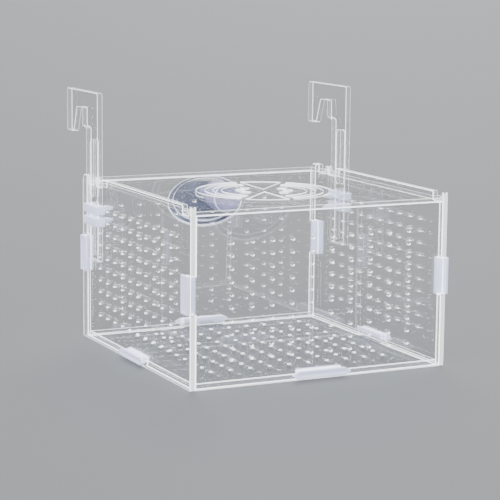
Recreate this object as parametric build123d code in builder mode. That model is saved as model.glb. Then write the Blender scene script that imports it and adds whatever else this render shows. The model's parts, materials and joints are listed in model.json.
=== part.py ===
"""Hanging fish breeding box: clear sheets keyed together, a lift-out lid, two rim hooks and a suction cup."""
import os
from math import cos, pi, radians, sin, sqrt, tan

from build123d import *

os.makedirs("parts", exist_ok=True)

# Sizes are in millimetres. x is across the box, y runs towards the tank's glass and z is up.
# The origin is the middle of the underside.

# Box sheets
box_width = 150.0  # over the outer faces of the side panels
box_depth = 150.0  # over the outer faces of the front and back panels
side_height = 94.0  # side panels
sheet = 3.0  # thickness of the five box panels
lid_sheet = 2.0
lid_drop = 2.5  # top of the side panels above the top of the lid
lid_gap = 0.3  # running gap round the lid

# Flow holes, in a square grid on each box panel
flow_hole = 2.0  # diameter that each hole stands for
flow_sides = 4  # the holes are drawn with flat sides, at the round hole's area
flow_count = 10  # rows and columns
pitch_x = 11.5  # across the front, back and bottom panels
pitch_y = 11.0  # along the side and bottom panels
pitch_z = 6.7  # up the front, back and side panels

# Notches in the top edge of each side panel, where the lid's ears sit
notch_width = 8.5
notch_corner = 1.0  # bevel at the foot of a notch
notch_play = 0.2  # between the foot of a notch and an ear
ear_gap = 0.9  # each side of an ear
notch_places = (-69.0, 49.5, 61.0)  # along y
post_corner = 0.6  # bevel on top of the posts between notches
tab_round = 3.5  # top corners of the rear tab
corner_reach = 0.01  # how near a corner lies to the level that it is picked by

# Tenons and the soft keys beside them
tenon_height = 20.0  # upright tenons of the front and back panels
tenon_length = 26.0  # lower tenons of the bottom panel
key_web = 1.6  # the key's web, beside the tenon
key_level = 49.0  # middle of the upright keys above the underside
key_head = 1.8  # the head stands this far off the panel
key_dish = 0.4  # depth of the shallow dish in the head
key_rim = 0.9  # rim left round the dish
side_key_width = 8.0  # head of an upright key
side_key_edge = 0.4  # from the panel's edge to that head
floor_key_width = 4.2  # head of a lower key
floor_key_edge = 0.8  # from the panel's edge to that head
floor_key_length = 34.0
floor_key_taper = 3.5  # length of its pointed ends
key_bead = 1.2  # the inner bead's thickness
key_lip = 0.8  # the inner bead reaches this far past the web

# Lid openings
vent_x = -3.0  # middle of the feeding rosette
vent_y = -12.0
vent_radius = 37.0
vent_slot = 4.6  # radial width of the ring slots
vent_land = 4.4  # solid ring between two slots
vent_rib = 4.0  # width of the two crossing ribs
vent_rib_angles = (46.0, 88.0)
vent_hub = 6.0  # solid middle
vent_dot = 5.2  # across the small openings
vent_dot_sides = 12
vent_dot_reach = 13.0  # from the middle to those openings
vent_dot_turn = 38.0  # angle between neighbours

# Rim hooks, each cut from one sheet
hook_sheet = 3.0
hook_y = 49.5  # middle of the shaft
hook_shaft = 17.0  # width of the shaft along y
hook_foot = 48.0  # lower end of the shaft above the underside
hook_top = 142.0
hook_nose = 30.0  # how far the nose stands beyond the shaft
hook_nose_drop = 24.0  # depth of the nose
hook_tip = 10.3  # width of the nose's flat tip
rim_gap = 8.5  # width of the mouth at its top
rim_inset = 6.0  # from the shaft's back edge to the mouth
rim_roof = 9.6  # sheet left above the mouth
rim_step = 20.5  # from the hook's top to the shoulder beside the mouth
rim_slope = 1.0  # rise of the shoulder towards the mouth
hook_round = 1.0  # outer corners
slot_width = 4.8
slot_foot = 3.0  # sheet left below the lower slot
slot_over = 3.85  # the lower slot ends this far above the upper peg's middle
slot_land = 3.0  # sheet left between the slots
slot_length = 32.0  # upper slot
hook_off = 1.3  # gap between a side panel and a hook

# Soft bands that bind the hooks to the side panels, their pegs in the two top rows of flow holes
band_height = 4.4
band_wall = 1.1
band_play = 0.3  # round the shaft
band_corner = 1.0  # bevel on the loop's corners
peg_sides = 12
peg = 3.0  # across the flats of the peg in the slot
peg_neck = 1.9  # across its flats in the side panel's hole
peg_head = 3.4  # root of the tapered end inside the box
peg_point = 1.4  # tip of that end
peg_reach = 5.2  # length of the tapered end

# Suction cup and its plug, both drawn with flat sides
plug_sides = 24
plug_x = 9.0
plug_drop = 12.0  # from the back panel's top edge to the plug's middle
plug_bore = 8.0
plug_play = 0.1
knob_radius = 8.5
knob_length = 12.5
knob_round = 1.2
collar_radius = 7.5
collar_length = 3.5
stem_radius = 1.3
ball_radius = 3.0
ball_reach = 18.0  # from the back panel's outer face to the middle of the ball
ball_play = 0.25
ball_turn = 30  # angle between the ball's rings, and between the socket's, in degrees
cup_sides = 36
cup_radius = 22.5
cup_lip = 0.9  # thickness at the rim
cup_depth = 8.0  # from the middle of the ball to the rim plane
cup_wall = 1.8  # thickness beside the nub
cup_hollow = 2.2  # depth of the mouth
cup_ring = 12.5  # radius of the ring halfway up the bell
cup_step_radius = 18.8  # where the bell steps down to its thin flange
cup_step = 0.5  # height and width of that step
nub_radius = 5.2
socket_lip = 8.0  # the socket stops this many degrees short of a half ball
cup_swing = 32.0  # at rest the cup hangs towards +x by this angle, in degrees
cup_droop = 55.0  # and below the level by this angle

# Derived sizes
half_width = box_width / 2
half_depth = box_depth / 2
inner_x = half_width - sheet
inner_y = half_depth - sheet
wall_height = side_height - lid_drop - lid_sheet
notch_foot = wall_height - notch_play
notch_cut = sheet + key_web
flow_radius = flow_hole / 2 * sqrt(2 * pi / (flow_sides * sin(2 * pi / flow_sides)))
peg_y = (flow_count - 1) / 2 * pitch_y
top_row = side_height / 2 + (flow_count - 1) / 2 * pitch_z
peg_levels = {"upper": top_row, "lower": top_row - pitch_z}
plug_z = wall_height - plug_drop
ball_y = half_depth + ball_reach


def save(name, part):
    """Label a finished piece and write it to its own file."""
    part.label = name
    export_step(part, f"parts/{name}.step")


def flow_grid(pitch_across, pitch_up, keep_out=(), keep_off=0.0):
    """Places of a flow grid about the sketch's origin, less those near the keep_out points."""
    middle = (flow_count - 1) / 2
    spots = [
        ((i - middle) * pitch_across, (j - middle) * pitch_up)
        for i in range(flow_count)
        for j in range(flow_count)
    ]
    return [
        (u, v)
        for u, v in spots
        if all((u - a) ** 2 + (v - b) ** 2 > keep_off**2 for a, b in keep_out)
    ]


def flat_turned(profile, sides):
    """A solid turned about z with flat sides, from the points of its half profile in x and z."""
    half_turn = 180 / sides
    reach = max(x for x, z in profile) * tan(radians(half_turn))
    with BuildPart() as sector:
        with BuildSketch(Plane.XZ):
            Polygon(*profile, align=None)
        extrude(amount=reach, both=True)
        split(bisect_by=Plane.XZ.rotated((0, 0, half_turn)), keep=Keep.TOP)
        split(bisect_by=Plane.XZ.rotated((0, 0, -half_turn)), keep=Keep.BOTTOM)
    with BuildPart() as whole:
        with PolarLocations(0, sides):
            add(sector.part)
    return whole.part


def ball_points(radius, turns):
    """Points of a ball's half profile about the origin, at these angles above the level."""
    return [(radius * cos(radians(turn)), radius * sin(radians(turn))) for turn in turns]


# Front and back panels, between the side panels, with a tenon on each upright edge
def wall_sketch(keep_out=(), keep_off=0.0):
    """Outline of a front or back panel in x and z, with its flow holes."""
    with BuildSketch() as outline:
        with Locations((0, wall_height / 2)):
            Rectangle(2 * inner_x, wall_height)
        with Locations((0, key_level)):
            Rectangle(box_width, tenon_height)
        Rectangle(tenon_length, 2 * notch_cut, mode=Mode.SUBTRACT)
        with Locations((0, wall_height / 2)):
            with Locations(flow_grid(pitch_x, pitch_z, keep_out, keep_off)):
                RegularPolygon(flow_radius, flow_sides, rotation=180 / flow_sides, mode=Mode.SUBTRACT)
    return outline.sketch


with BuildPart() as front_panel:
    with BuildSketch(Plane.XZ.offset(half_depth)):
        add(wall_sketch())
    extrude(amount=-sheet)
save("front_panel", front_panel.part)

with BuildPart() as back_panel:
    with BuildSketch(Plane.XZ.offset(-inner_y)):
        add(wall_sketch([(plug_x, plug_z - wall_height / 2)], knob_radius + flow_hole / 2))
        with Locations((plug_x, plug_z)):
            RegularPolygon(plug_bore / 2, plug_sides, major_radius=False, mode=Mode.SUBTRACT)
    extrude(amount=-sheet)
save("back_panel", back_panel.part)

# Side panels, whose top edge carries the notches for the lid's ears
with BuildSketch() as side_outline:
    with Locations((0, side_height / 2)):
        Rectangle(box_depth, side_height)
    for place in notch_places:
        with Locations((place, side_height)):
            Rectangle(notch_width, 2 * (side_height - notch_foot), mode=Mode.SUBTRACT)
    feet = side_outline.vertices().filter_by(lambda v: abs(v.Y - notch_foot) < corner_reach)
    chamfer(feet, notch_corner)
    tops = side_outline.vertices().filter_by(lambda v: v.Y > side_height - corner_reach)
    rear = tops.filter_by(lambda v: v.X > max(notch_places))
    chamfer(tops.filter_by(lambda v: v not in rear), post_corner)
    fillet(rear, tab_round)
    for end in (-half_depth, half_depth):
        with Locations((end, key_level)):
            Rectangle(2 * notch_cut, tenon_height, mode=Mode.SUBTRACT)
    Rectangle(tenon_length, 2 * notch_cut, mode=Mode.SUBTRACT)
    with Locations((0, side_height / 2)):
        pegs = [(peg_y, level - side_height / 2) for level in peg_levels.values()]
        with Locations(flow_grid(pitch_y, pitch_z, pegs, flow_hole / 2)):
            RegularPolygon(flow_radius, flow_sides, rotation=180 / flow_sides, mode=Mode.SUBTRACT)
        with Locations(pegs):
            RegularPolygon(flow_hole / 2, peg_sides, major_radius=False, mode=Mode.SUBTRACT)

with BuildPart() as right_panel:
    with BuildSketch(Plane.YZ.offset(inner_x)):
        add(side_outline.sketch)
    extrude(amount=sheet)
save("right_panel", right_panel.part)

with BuildPart() as left_panel:
    add(right_panel.part)
    mirror(about=Plane.YZ, mode=Mode.REPLACE)
save("left_panel", left_panel.part)

# Bottom panel, with a tenon in each wall
with BuildPart() as bottom_panel:
    with BuildSketch():
        Rectangle(2 * inner_x, 2 * inner_y)
        Rectangle(box_width, tenon_length)
        Rectangle(tenon_length, box_depth)
        with Locations(flow_grid(pitch_x, pitch_y)):
            RegularPolygon(flow_radius, flow_sides, rotation=180 / flow_sides, mode=Mode.SUBTRACT)
    extrude(amount=sheet)
save("bottom_panel", bottom_panel.part)

# Lid: rests on the front and back panels, with ears in the side panels' notches and a cut-out rosette
with BuildSketch() as rosette:
    outer = vent_radius
    while outer - vent_slot > vent_dot_reach + vent_dot:
        Circle(outer)
        Circle(outer - vent_slot, mode=Mode.SUBTRACT)
        outer -= vent_slot + vent_land
    narrow_turn = sum(vent_rib_angles) / 2
    narrow_spread = abs(vent_rib_angles[1] - vent_rib_angles[0]) / 2
    for turn in (narrow_turn, narrow_turn + 180):
        with BuildLine():
            tip = Vector(vent_hub, 0).rotate(Axis.Z, turn)
            near = Vector(vent_radius, 0).rotate(Axis.Z, turn - narrow_spread)
            far = Vector(vent_radius, 0).rotate(Axis.Z, turn + narrow_spread)
            Line(tip, near)
            RadiusArc(near, far, -vent_radius)
            Line(far, tip)
        make_face()
    for turn in (narrow_turn + 90, narrow_turn - 90):
        for dot_turn in (turn - vent_dot_turn, turn, turn + vent_dot_turn):
            with Locations(Vector(vent_dot_reach, 0).rotate(Axis.Z, dot_turn)):
                RegularPolygon(vent_dot / 2, vent_dot_sides, major_radius=False)
    for angle in vent_rib_angles:
        Rectangle(3 * vent_radius, vent_rib, rotation=angle, mode=Mode.SUBTRACT)

with BuildPart() as lid:
    with BuildSketch(Plane.XY.offset(wall_height)):
        Rectangle(2 * (inner_x - lid_gap), box_depth - 2 * lid_gap)
        for place in notch_places:
            with Locations((0, place)):
                Rectangle(box_width, notch_width - 2 * ear_gap)
        with Locations((vent_x, vent_y)):
            add(rosette.sketch, mode=Mode.SUBTRACT)
    extrude(amount=lid_sheet)
save("lid", lid.part)


# Soft keys: a dished head outside, a web beside the tenon and a bead inside
def key_part(head_points, length, web_length, edge, width):
    """A key lying along x with the panel's edge at y = 0, the web above the tenon and z off the panel."""
    with BuildPart() as key:
        with BuildSketch():
            with Locations((0, edge + width / 2)):
                Polygon(*head_points)
        extrude(amount=key_head)
        with BuildSketch(Plane.XY.offset(key_head)):
            with Locations((0, edge + width / 2)):
                Rectangle(length - 2 * key_rim, width - 2 * key_rim)
        extrude(amount=-key_dish, mode=Mode.SUBTRACT)
        with BuildSketch():
            with Locations((0, sheet + key_web / 2)):
                Rectangle(web_length, key_web)
        extrude(amount=-sheet)
        with BuildSketch(Plane.XY.offset(-sheet)):
            with Locations((0, sheet + (key_web + key_lip) / 2)):
                Rectangle(web_length, key_web + key_lip)
        extrude(amount=-key_bead)
    return key.part


half_key = floor_key_length / 2
half_head = floor_key_width / 2
floor_head = [
    (-half_key, 0),
    (-half_key + floor_key_taper, half_head),
    (half_key - floor_key_taper, half_head),
    (half_key, 0),
    (half_key - floor_key_taper, -half_head),
    (-half_key + floor_key_taper, -half_head),
]
side_head = [
    (-tenon_height / 2, -side_key_width / 2),
    (-tenon_height / 2, side_key_width / 2),
    (tenon_height / 2, side_key_width / 2),
    (tenon_height / 2, -side_key_width / 2),
]
floor_dish = floor_key_length - 2 * floor_key_taper
floor_key = key_part(floor_head, floor_dish, tenon_length, floor_key_edge, floor_key_width)
side_key = key_part(side_head, tenon_height, tenon_height, side_key_edge, side_key_width)

keys = {
    # name: (key, middle of the panel's edge, direction along the key, direction off the panel)
    "clip_bottom_front": (floor_key, (0, -half_depth, 0), (1, 0, 0), (0, -1, 0)),
    "clip_bottom_back": (floor_key, (0, half_depth, 0), (-1, 0, 0), (0, 1, 0)),
    "clip_bottom_left": (floor_key, (-half_width, 0, 0), (0, -1, 0), (-1, 0, 0)),
    "clip_bottom_right": (floor_key, (half_width, 0, 0), (0, 1, 0), (1, 0, 0)),
    "clip_front_left": (side_key, (-half_width, -half_depth, key_level), (0, 0, 1), (-1, 0, 0)),
    "clip_front_right": (side_key, (half_width, -half_depth, key_level), (0, 0, -1), (1, 0, 0)),
    "clip_back_left": (side_key, (-half_width, half_depth, key_level), (0, 0, -1), (-1, 0, 0)),
    "clip_back_right": (side_key, (half_width, half_depth, key_level), (0, 0, 1), (1, 0, 0)),
}
for name, (key, middle, along, off) in keys.items():
    with BuildPart() as clip:
        add(Plane(origin=middle, x_dir=along, z_dir=off) * key)
    save(name, clip.part)

# Rim hooks
shaft_front = hook_y - hook_shaft / 2
shaft_back = hook_y + hook_shaft / 2
nose_back = shaft_back + hook_nose
nose_foot = hook_top - hook_nose_drop
mouth_front = shaft_back + rim_inset
mouth_top = hook_top - rim_roof
shoulder = hook_top - rim_step
lower_slot = (hook_foot + slot_foot, top_row + slot_over)
upper_slot = (lower_slot[1] + slot_land, lower_slot[1] + slot_land + slot_length)

with BuildSketch() as hook_outline:
    with BuildLine():
        Polyline(
            (shaft_front, hook_foot),
            (shaft_front, hook_top),
            (nose_back, hook_top),
            (nose_back, nose_foot),
            (nose_back - hook_tip, nose_foot),
            (mouth_front + rim_gap, mouth_top),
            (mouth_front, mouth_top),
            (mouth_front, shoulder + rim_slope),
            (shaft_back, shoulder),
            (shaft_back, hook_foot),
            close=True,
        )
    make_face()
    fillet(hook_outline.vertices(), hook_round)
    for low, high in (upper_slot, lower_slot):
        with Locations((hook_y, (low + high) / 2)):
            SlotOverall(high - low, slot_width, rotation=90, mode=Mode.SUBTRACT)

with BuildPart() as hook_right:
    with BuildSketch(Plane.YZ.offset(half_width + hook_off)):
        add(hook_outline.sketch)
    extrude(amount=hook_sheet)
save("hook_right", hook_right.part)

with BuildPart() as hook_left:
    add(hook_right.part)
    mirror(about=Plane.YZ, mode=Mode.REPLACE)
save("hook_left", hook_left.part)

# Bands: a loop round the shaft, and a peg through the hook's slot that snaps into a flow hole
loop_inner = half_width + hook_off - band_play
loop_outer = half_width + hook_off + hook_sheet + band_play
loop_back = loop_outer + band_wall
peg_profile = [
    # from the peg's axis outwards, the point towards -z and the side panel's inner face at z = 0
    (0, -peg_reach),
    (peg_point / 2, -peg_reach),
    (peg_head / 2, 0),
    (peg_neck / 2, 0),
    (peg_neck / 2, sheet),
    (peg / 2, sheet),
    (peg / 2, loop_back - inner_x - band_wall / 2),
    (0, loop_back - inner_x - band_wall / 2),
]
peg_shape = flat_turned(peg_profile, peg_sides)
for height_name, level in peg_levels.items():
    with BuildPart() as right_band:
        with BuildSketch(Plane.XY.offset(level - band_height / 2)) as loop:
            with Locations(((half_width + loop_back) / 2, hook_y)):
                Rectangle(loop_back - half_width, hook_shaft + 2 * (band_play + band_wall))
            chamfer(loop.vertices(), band_corner)
            with Locations(((loop_inner + loop_outer) / 2, hook_y)):
                Rectangle(loop_outer - loop_inner, hook_shaft + 2 * band_play, mode=Mode.SUBTRACT)
        extrude(amount=band_height)
        add(Plane(origin=(inner_x, hook_y, level), x_dir=(0, 1, 0), z_dir=(1, 0, 0)) * peg_shape)
    save(f"band_right_{height_name}", right_band.part)
    with BuildPart() as left_band:
        add(right_band.part)
        mirror(about=Plane.YZ, mode=Mode.REPLACE)
    save(f"band_left_{height_name}", left_band.part)

# Plug, drawn along +z from the ball's middle: a knob inside the box, a neck through the back panel,
# a collar, and a stem with a ball
panel_front = -ball_reach - sheet
plug_profile = [
    (0, panel_front - knob_length),
    (knob_radius - knob_round, panel_front - knob_length),
    (knob_radius, panel_front - knob_length + knob_round),
    (knob_radius, panel_front),
    (plug_bore / 2 - plug_play, panel_front),
    (plug_bore / 2 - plug_play, -ball_reach),
    (collar_radius, -ball_reach),
    (collar_radius, -ball_reach + collar_length),
    (stem_radius, -ball_reach + collar_length),
    (stem_radius, -sqrt(ball_radius**2 - stem_radius**2)),
    *ball_points(ball_radius, range(-ball_turn, 90, ball_turn)),
    (0, ball_radius),
]
with BuildPart() as cup_plug:
    add(Plane(origin=(plug_x, ball_y, plug_z), z_dir=(0, 1, 0)) * flat_turned(plug_profile, plug_sides))
save("cup_plug", cup_plug.part)

# Suction cup, drawn about its own axis with the ball's middle at the origin and its mouth towards +z
socket_radius = ball_radius + ball_play
mouth_middle = cup_depth - cup_hollow


def bell_point(radius, wall=0.0, lip=0.0):
    """A point of the bell at this radius, this far behind the mouth's face at the nub and at the rim."""
    rise = cup_hollow + wall - lip
    return (radius, mouth_middle - wall + rise * ((radius - nub_radius) / (cup_radius - nub_radius)) ** 2)


socket_foot = socket_radius * sin(radians(socket_lip))
flange_radius = cup_step_radius + cup_step
flange_foot = bell_point(flange_radius, cup_wall, cup_lip)[1] + cup_step
cup_profile = [
    (0, mouth_middle),
    (0, socket_radius),
    *ball_points(socket_radius, range(90 - ball_turn, 0, -ball_turn)),
    *ball_points(socket_radius, (socket_lip,)),
    (nub_radius, socket_foot),
    bell_point(nub_radius, cup_wall, cup_lip),
    bell_point(cup_ring, cup_wall, cup_lip),
    bell_point(cup_step_radius, cup_wall, cup_lip),
    (flange_radius, flange_foot),
    bell_point(cup_radius, cup_wall, cup_lip),
    bell_point(cup_radius),
    bell_point(cup_ring),
    bell_point(nub_radius),
]
cup_axis = Vector(
    sin(radians(cup_swing)) * cos(radians(cup_droop)),
    cos(radians(cup_swing)) * cos(radians(cup_droop)),
    -sin(radians(cup_droop)),
)
with BuildPart() as suction_cup:
    add(Plane(origin=(plug_x, ball_y, plug_z), z_dir=cup_axis) * flat_turned(cup_profile, cup_sides))
save("suction_cup", suction_cup.part)
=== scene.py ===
"""Looks of a hanging fish breeding box: clear sheets, soft keys and bands, a plug and a suction cup."""
import json
from math import asin, cos, pi, radians, sin

import bmesh
import bpy
from mathutils import Matrix, Vector

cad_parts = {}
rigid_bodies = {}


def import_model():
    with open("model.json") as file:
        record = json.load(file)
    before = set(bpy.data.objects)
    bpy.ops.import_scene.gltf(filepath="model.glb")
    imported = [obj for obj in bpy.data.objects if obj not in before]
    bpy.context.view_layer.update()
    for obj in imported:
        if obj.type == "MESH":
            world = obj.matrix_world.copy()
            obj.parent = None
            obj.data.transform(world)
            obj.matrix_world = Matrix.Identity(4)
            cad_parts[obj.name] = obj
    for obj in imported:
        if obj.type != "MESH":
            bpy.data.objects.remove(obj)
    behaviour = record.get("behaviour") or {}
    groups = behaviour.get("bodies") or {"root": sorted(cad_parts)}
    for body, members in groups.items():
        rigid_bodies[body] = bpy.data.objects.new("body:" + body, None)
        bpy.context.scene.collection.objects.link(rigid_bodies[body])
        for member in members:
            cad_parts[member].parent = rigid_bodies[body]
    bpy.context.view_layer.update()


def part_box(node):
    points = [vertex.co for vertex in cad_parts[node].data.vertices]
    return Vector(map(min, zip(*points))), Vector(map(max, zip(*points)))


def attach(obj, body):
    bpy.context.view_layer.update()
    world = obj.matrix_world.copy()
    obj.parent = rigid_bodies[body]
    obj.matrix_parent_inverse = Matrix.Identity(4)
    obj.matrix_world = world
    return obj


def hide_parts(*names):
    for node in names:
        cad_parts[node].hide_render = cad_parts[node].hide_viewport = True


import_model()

# Sizes are in metres. x is across the box, y runs towards the tank's glass and z is up.
MM = 0.001
SEAM = 0.04 * MM  # hairline left where two sheets meet
ARRIS = 0.35 * MM  # width of the small chamfer on every cut edge
GLINT_RING = 1.3 * MM  # depth of the ring at the outer end of a flow hole in a wall that carries a painted glint, glowing by emission
FLOOR_RING = 0.5 * MM  # and at the upper end of a hole in the bottom sheet
GLINT_LEAN = 0.4  # the ring carries the painted glint only where the hole's wall leans up more than this, as if lit from above
FACING = 0.9  # a face whose normal has more than this along an axis looks that way
SQUARE = 0.99  # an edge or a normal with more than this along an axis runs straight along it
POLISHED_LEAN = 0.999  # a sheet's face that looks less than this along the thin axis is a cut one
ARRIS_LEAN = 0.05  # and a cut one that looks more than this along it is an arris
BLUNT = radians(60)  # the lid and the hooks keep corners blunter than this without a chamfer
WELD = 0.002 * MM  # points nearer than this become one
FLAT = radians(0.5)  # faces nearer to flat than this become one
NEAR = 0.01 * MM  # how near a corner lies to the place that it is picked by
POLE = radians(3)  # a round end stops this far from its pole

# Camera of the photograph
IMAGE_SIDE = 500  # pixels
FOCAL_PIXELS = 1840.4
CAMERA_AZIMUTH = radians(-26.09)
CAMERA_ELEVATION = radians(9.33)
CAMERA_ROLL = radians(0.58)
CAMERA_DISTANCE = 1020.7 * MM
CAMERA_ASIDE = -4.66 * MM
CAMERA_LIFT = 9.34 * MM
SIGHT_HEIGHT = 47 * MM  # the camera looks at a point this far above the box's underside
SENSOR = 36  # millimetres
CLIP_START = 0.01
CLIP_END = 100

# Sheets
FRONT_LOW, FRONT_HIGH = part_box("front_panel")
BACK_LOW, BACK_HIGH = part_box("back_panel")
RIGHT_LOW, RIGHT_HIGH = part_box("right_panel")
LID_LOW, LID_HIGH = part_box("lid")
SHEET = FRONT_HIGH.y - FRONT_LOW.y
HALF_WIDTH = RIGHT_HIGH.x
HALF_DEPTH = BACK_HIGH.y
INNER_X = RIGHT_LOW.x
INNER_Y = BACK_LOW.y
WALL_TOP = FRONT_HIGH.z
SIDE_TOP = RIGHT_HIGH.z
TENON_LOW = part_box("clip_front_left")[0].z  # the upright tenons are as high as the keys beside them
TENON_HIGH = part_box("clip_front_left")[1].z
FLOOR_TENON = 26 * MM  # length of the bottom sheet's tenons
WEB = 1.6 * MM  # thickness of a key's web
NOTCH = SHEET + WEB

# Flow holes
HOLE = 2 * MM
HOLE_SIDES = 14
BORE_SIDES = 48
HOLE_COUNT = 10
PITCH_X = 11.5 * MM
PITCH_Y = 11 * MM
PITCH_Z = 6.7 * MM

# Notches in the side sheets' top edges and the ears of the lid in them
EAR_NOTCH = 8.5 * MM
EAR_NOTCH_ROUND = 1 * MM
EAR_NOTCH_FOOT = WALL_TOP - 0.2 * MM
EAR_GAP = 0.9 * MM  # each side of an ear
EAR_PLACES = (-69 * MM, 49.5 * MM, 61 * MM)  # along y
LID_GAP = 0.3 * MM  # running gap beside the lid
LID_ARRIS = 0.8 * ARRIS
POST_ROUND = 0.6 * MM  # top corners of the posts between the notches
TAB_ROUND = 3.5 * MM  # top corners of the tab behind them

# Feeding rosette in the lid
ROSETTE = Vector((-3 * MM, -12 * MM, 0))
ROSETTE_RADIUS = 37 * MM
ROSETTE_SLOT = 4.6 * MM  # radial width of the ring slots
ROSETTE_LAND = 4.4 * MM  # solid ring between two slots
ROSETTE_RIB = 4 * MM  # width of the two crossing ribs
ROSETTE_RIB_ANGLES = (radians(46), radians(88))
ROSETTE_DOT = 5.2 * MM  # across the small round openings
ROSETTE_DOT_REACH = 13 * MM  # from the middle to those openings
ROSETTE_DOT_SPREAD = radians(38)  # from one to the next
ROSETTE_SIDES = 96
DOT_SIDES = 32
ROSETTE_GLOW = 0.45 * MM  # height of the upper part of the rosette's cut walls that glows with painted light

# Rim hooks
HOOK_SHAFT = 17 * MM  # width of the shaft along y
RIM_INSET = 6 * MM  # from the shaft's back edge to the mouth
RIM_GAP = 8.5 * MM  # width of the mouth at its top
RIM_ROOF = 9.6 * MM  # sheet left above the mouth
RIM_STEP = 20.5 * MM  # from the hook's top to the shoulder beside the mouth
NOSE_DROP = 24 * MM
NOSE_TIP = 10.3 * MM  # width of the nose's flat tip
SHOULDER_RISE = 1 * MM
HOOK_ROUND = 1 * MM
SLOT_WIDTH = 4.8 * MM
SLOT_SIDES = 28
UPPER_SLOT = (84 * MM, 116 * MM)  # lower and upper end
LOWER_SLOT = (51 * MM, 81 * MM)

# Soft bands and their pegs
BAND_WALL = 1.1 * MM
BAND_PLAY = 0.3 * MM  # round the shaft
BAND_CORNER = 0.9 * BAND_WALL  # outer upright corners
BAND_ROUND = 0.45 * MM  # the other edges
BAND_BLUNT = radians(50)  # corners blunter than this stay as they are
PEG = 3.0 * MM  # across the peg in the slot
PEG_NECK = 1.9 * MM  # and in the side sheet's hole
PEG_HEAD = 3.4 * MM  # root of the tapered end inside the box
PEG_POINT = 1.4 * MM  # tip of that end
PEG_REACH = 5.2 * MM  # length of that end
PEG_BEND = 0.55  # share of that length at which the taper bends
PEG_BEVEL = 0.3 * MM
PEG_SIDES = 24

# Soft keys
KEY_HEAD = 1.8 * MM  # the head stands this far off the sheet
KEY_DISH = 0.4 * MM  # depth of the shallow dish in the head
KEY_DISH_SLOPE = 0.5 * MM  # width of the dish's sloping side
KEY_RIM = 0.9 * MM  # rim left round the dish
KEY_BEAD = 1.2 * MM  # thickness of the inner bead
KEY_LIP = 0.8 * MM  # the inner bead reaches this far past the web
KEY_TAPER = 3.5 * MM  # length of a lower key's pointed ends
KEY_TIP = 0.5 * MM
KEY_ROUND = 0.28 * MM
KEY_BLUNT = radians(35)
FLOOR_KEY_EDGE = 0.8 * MM  # from the sheet's edge to the head of a lower key
FLOOR_KEY_WIDTH = 4.2 * MM
SIDE_KEY_EDGE = 0.4 * MM  # and to the head of an upright key
SIDE_KEY_WIDTH = 8 * MM

# Plug and suction cup
PLUG_LOW, PLUG_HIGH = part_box("cup_plug")
KNOB_RADIUS = (PLUG_HIGH.x - PLUG_LOW.x) / 2
PLUG = Vector(((PLUG_LOW.x + PLUG_HIGH.x) / 2, 0, (PLUG_LOW.z + PLUG_HIGH.z) / 2))
PLUG_BORE = 8 * MM
PLUG_NECK = 7.8 * MM
PLUG_SIDES = 72
KNOB_ROUND = 1.2 * MM
KNOB_DISH = 0.5 * MM  # depth of the shallow dish in the knob's face
BEVEL_WIDTH = 0.4 * MM  # of the knob and the collar where they meet the sheet
BEVEL_HEIGHT = 0.5 * MM
COLLAR_RADIUS = 7.5 * MM
COLLAR_LENGTH = 3.5 * MM
STEM_RADIUS = 1.3 * MM
STEM_FOOT_RADIUS = 1.6 * STEM_RADIUS
STEM_FOOT = 0.9 * MM  # height over which the stem widens into the collar
BALL_RADIUS = 3 * MM
BALL = Vector((PLUG.x, PLUG_HIGH.y - BALL_RADIUS, PLUG.z))
BALL_STEPS = 10
SOCKET_RADIUS = 3.25 * MM
SOCKET_EDGE = radians(8)  # the socket holds the ball to this far from its equator
SOCKET_STEPS = 8
NUB_RADIUS = 5.2 * MM
NUB_BEVEL = 0.5 * MM
NUB_BEVEL_HEIGHT = 0.4 * MM
CUP_RADIUS = 22.5 * MM
CUP_SIDES = 96
CUP_DEPTH = 8 * MM  # from the ball's middle to the mouth
CUP_HOLLOW = 2.2 * MM  # width of the painted highlight line along the rim
CUP_WALL = 1.8 * MM  # at the nub
CUP_LIP = 0.9 * MM  # at the rim
CUP_LIP_ROUND = 0.25 * MM
CUP_RIM = 0.8 * MM  # width of the bright line along the rim
CUP_STEP_RADIUS = 18.8 * MM  # inner edge of the ring raised on the bell
CUP_STEP = 0.5 * MM  # its height
BELL_STEPS = 12
BELL_START = 0.03  # the bell's first ring stands off the nub by this share of the way to the raised ring
MOUTH_STEPS = 16
CUP_SWING = radians(32)  # the cup's axis points this far to the right of straight back
CUP_DROOP = radians(55)  # and this far down

# Floor
FLOOR_RADIUS = 12
FLOOR_SIDES = 96
FLOOR_DROP = 0.1 * MM  # it lies this far under the box


# ---------------------------------------------------------------- making shapes
def pick(piece):
    """Make this piece the only one selected."""
    bpy.ops.object.select_all(action="DESELECT")
    piece.select_set(True)
    bpy.context.view_layer.objects.active = piece


def settle(piece):
    """Put the piece's place, turn and size into its mesh."""
    pick(piece)
    bpy.ops.object.transform_apply(location=True, rotation=True, scale=True)
    return piece


def block(name, low, high):
    """A box between two corners."""
    low, high = Vector(low), Vector(high)
    bpy.ops.object.select_all(action="DESELECT")
    bpy.ops.mesh.primitive_cube_add(size=1, location=(low + high) / 2)
    piece = bpy.context.object
    piece.name = name
    piece.scale = high - low
    return settle(piece)


def rod(name, middle, radius, length, axis, sides, turn=0.0):
    """A round bar along x, y or z, turned about its own axis."""
    facing = {"x": Matrix.Rotation(pi / 2, 4, "Y"), "y": Matrix.Rotation(-pi / 2, 4, "X"), "z": Matrix.Identity(4)}
    bpy.ops.object.select_all(action="DESELECT")
    bpy.ops.mesh.primitive_cylinder_add(vertices=sides, radius=radius, depth=length)
    piece = bpy.context.object
    piece.name = name
    piece.matrix_world = Matrix.Translation(middle) @ facing[axis] @ Matrix.Rotation(turn, 4, "Z")
    return settle(piece)


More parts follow.
